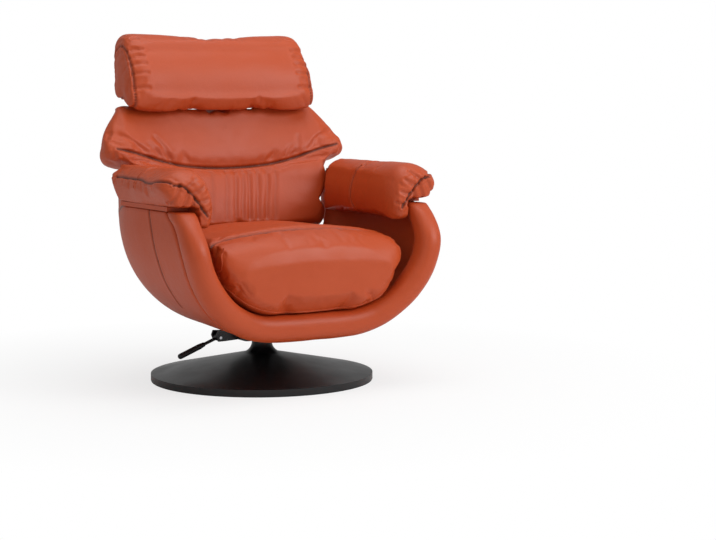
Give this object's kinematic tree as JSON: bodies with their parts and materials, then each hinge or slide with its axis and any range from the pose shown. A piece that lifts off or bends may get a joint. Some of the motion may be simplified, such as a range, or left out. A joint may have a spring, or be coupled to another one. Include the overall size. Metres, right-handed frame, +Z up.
{
  "type": "swivel recliner",
  "caption": "Leather swivel recliner with a bowl-shaped tub, arm pads, a reclining winged back and a tilting headrest on a round trumpet-shaped metal foot.",
  "frame": {"origin": "on the floor, at the middle of the round foot, on the swivel axis", "axes": "+Z up along the swivel axis, -Y ahead of the sitter, +X at the sitter's left"},
  "size_m": [0.849, 0.7043, 0.9685],
  "materials": {
    "floor_felt": "pressed felt",
    "ballast_iron": "as cast",
    "foot_paint": "satin black powder coat",
    "bright_steel": "zinc plated",
    "bush_plastic": "natural",
    "buffer_rubber": "matt",
    "grip_plastic": "fine grain",
    "frame_paint": "satin black",
    "shell_wood": "bare plywood",
    "woven_webbing": "woven",
    "under_fabric": "black cloth over foam",
    "cognac_leather": "smooth satin cognac leather over foam"
  },
  "bodies": {
    "foot": {"floor_pad": "floor_felt", "base_ballast": "ballast_iron", "base_trumpet": "foot_paint", "column_tube": "foot_paint", "column_bolts": "bright_steel", "swivel_bush_lower": "bush_plastic", "swivel_bush_upper": "bush_plastic", "thrust_washer": "bright_steel"},
    "swivel_head": {"swivel_spindle": "bright_steel", "spindle_lock_nut": "bright_steel", "mechanism_housing": "foot_paint", "housing_bolts": "bright_steel", "tilt_axle": "bright_steel", "clamp_discs": "bright_steel", "stop_buffers": "buffer_rubber", "lever_bracket": "foot_paint", "lever_pin": "bright_steel"},
    "lever": {"lever_hub": "foot_paint", "lever_rod": "bright_steel", "lever_grip": "grip_plastic"},
    "tub": {"tilt_bracket": "frame_paint", "tilt_bushes": "bush_plastic", "tub_shell": "shell_wood", "side_cover_left": "cognac_leather", "side_cover_right": "cognac_leather", "under_cover": "under_fabric", "front_rim_roll": "cognac_leather", "seat_frame": "frame_paint", "seat_webbing": "woven_webbing", "seat_cushion": "cognac_leather", "arm_board_left": "shell_wood", "arm_board_right": "shell_wood", "arm_pad_left": "cognac_leather", "arm_pad_right": "cognac_leather", "recline_bracket_left": "frame_paint", "recline_bracket_right": "frame_paint", "recline_pin_left": "bright_steel", "recline_pin_right": "bright_steel"},
    "back": {"back_frame": "frame_paint", "back_webbing": "woven_webbing", "back_cushion": "cognac_leather", "back_rear_cover": "cognac_leather", "recline_arm_left": "frame_paint", "recline_arm_right": "frame_paint", "recline_bushes": "bush_plastic", "headrest_arm_left": "frame_paint", "headrest_arm_right": "frame_paint", "headrest_pins": "bright_steel"},
    "headrest": {"headrest_cushion": "cognac_leather", "headrest_frame": "frame_paint"}
  },
  "joints": [
    {"name": "swivel", "type": "hinge", "parent": "foot", "child": "swivel_head", "pos_m": [0, 0, 0.1], "axis": [0, 0, 1], "continuous": true},
    {"name": "lever_lift", "type": "hinge", "parent": "swivel_head", "child": "lever", "pos_m": [-0.138, 0, 0.127], "axis": [0, 1, 0], "range_deg": [0, 20], "stiffness_Nm_per_rad": 0.6, "springref_deg": -20.05},
    {"name": "tub_tilt", "type": "hinge", "parent": "swivel_head", "child": "tub", "pos_m": [0, 0, 0.13276], "axis": [-1, 0, 0], "range_deg": [0, 12]},
    {"name": "back_recline", "type": "hinge", "parent": "tub", "child": "back", "pos_m": [0, 0.165, 0.35], "axis": [-1, 0, 0], "range_deg": [0, 30]},
    {"name": "headrest_tilt", "type": "hinge", "parent": "back", "child": "headrest", "pos_m": [0, 0.22841, 0.78371], "axis": [1, 0, 0], "range_deg": [0, 35]}
  ]
}
